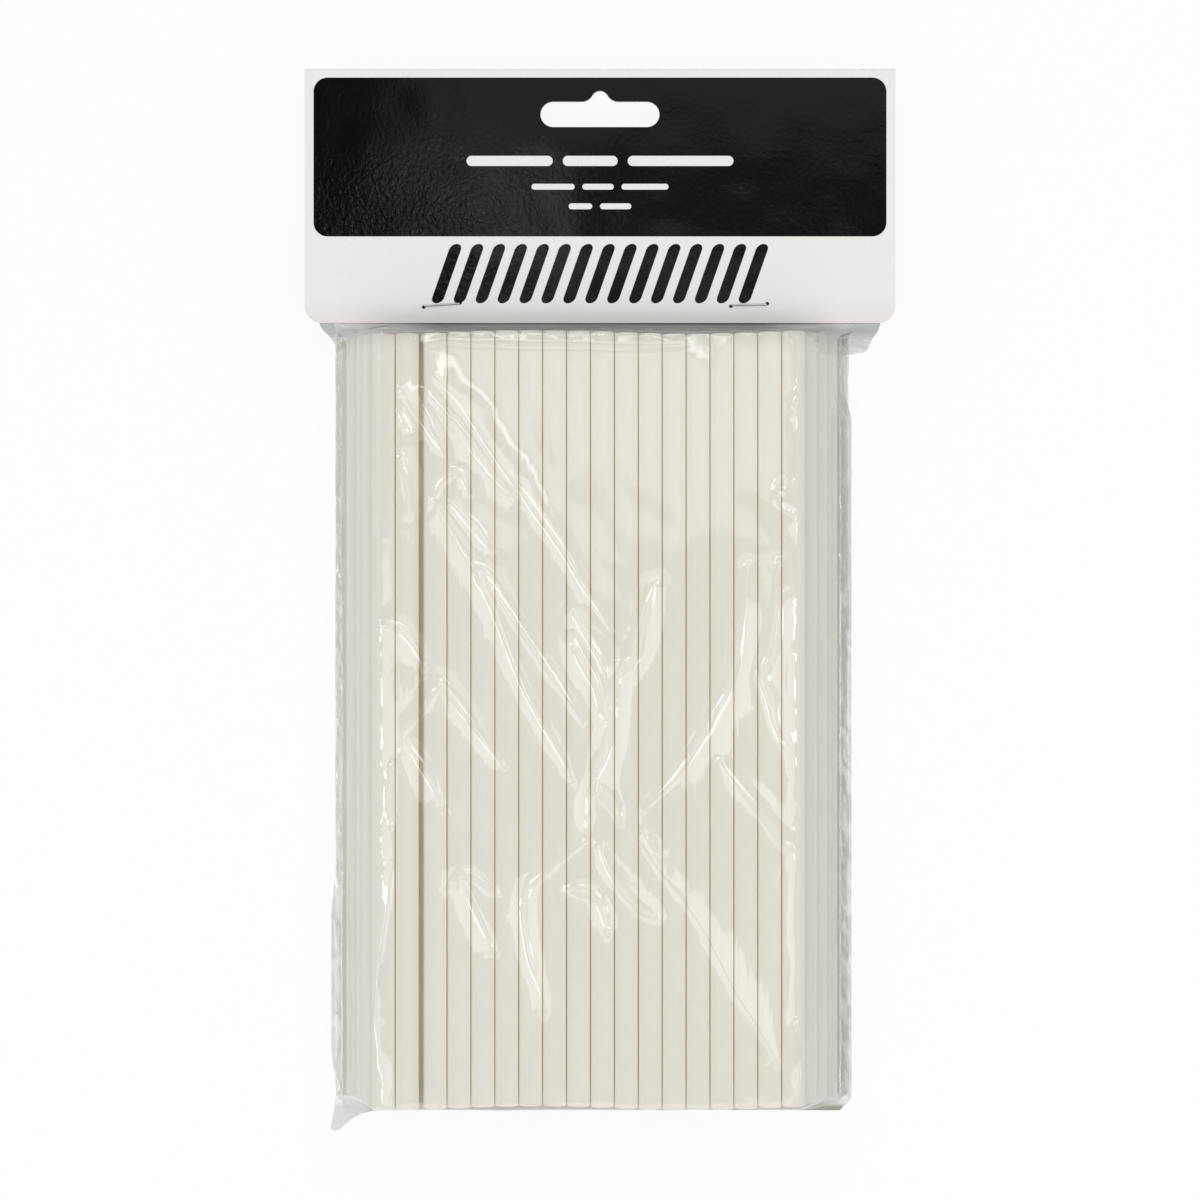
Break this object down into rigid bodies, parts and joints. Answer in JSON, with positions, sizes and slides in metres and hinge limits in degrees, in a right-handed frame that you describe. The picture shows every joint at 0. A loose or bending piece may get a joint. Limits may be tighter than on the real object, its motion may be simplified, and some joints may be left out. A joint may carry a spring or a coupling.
{
  "type": "hang-sell pack of paper drinking straws",
  "caption": "Clear film bag of white paper drinking straws in nested rows, closed by a stapled folded header card with a hang slot.",
  "frame": {"origin": "middle of the pack's whole outline, on the plane of its flat back", "axes": "+X to the right of the front, +Y towards the header card, +Z out of the front"},
  "size_m": [0.151, 0.2716, 0.0296],
  "materials": {
    "film": "clear glossy film",
    "card": "coated card, printed with a black panel",
    "staple_wire": "zinc-plated wire",
    "straw_paper": "matte white paper"
  },
  "bodies": {
    "root": {"bag": "film", "header_card": "card", "staple_left": "staple_wire", "staple_right": "staple_wire", "front_straw_01": "straw_paper", "front_straw_02": "straw_paper", "front_straw_03": "straw_paper", "front_straw_04": "straw_paper", "front_straw_05": "straw_paper", "front_straw_06": "straw_paper", "front_straw_07": "straw_paper", "front_straw_08": "straw_paper", "front_straw_09": "straw_paper", "front_straw_10": "straw_paper", "front_straw_11": "straw_paper", "front_straw_12": "straw_paper", "front_straw_13": "straw_paper", "front_straw_14": "straw_paper", "front_straw_15": "straw_paper", "front_straw_16": "straw_paper", "front_straw_17": "straw_paper", "front_straw_18": "straw_paper", "straw_row_2": "straw_paper", "straw_row_3": "straw_paper", "straw_row_4": "straw_paper", "back_straw_01": "straw_paper", "back_straw_02": "straw_paper", "back_straw_03": "straw_paper", "back_straw_04": "straw_paper", "back_straw_05": "straw_paper", "back_straw_06": "straw_paper", "back_straw_07": "straw_paper", "back_straw_08": "straw_paper", "back_straw_09": "straw_paper", "back_straw_10": "straw_paper", "back_straw_11": "straw_paper", "back_straw_12": "straw_paper", "back_straw_13": "straw_paper", "back_straw_14": "straw_paper", "back_straw_15": "straw_paper", "back_straw_16": "straw_paper", "back_straw_17": "straw_paper", "back_straw_18": "straw_paper", "back_straw_19": "straw_paper", "back_straw_20": "straw_paper", "back_straw_21": "straw_paper", "back_straw_22": "straw_paper"}
  },
  "joints": []
}
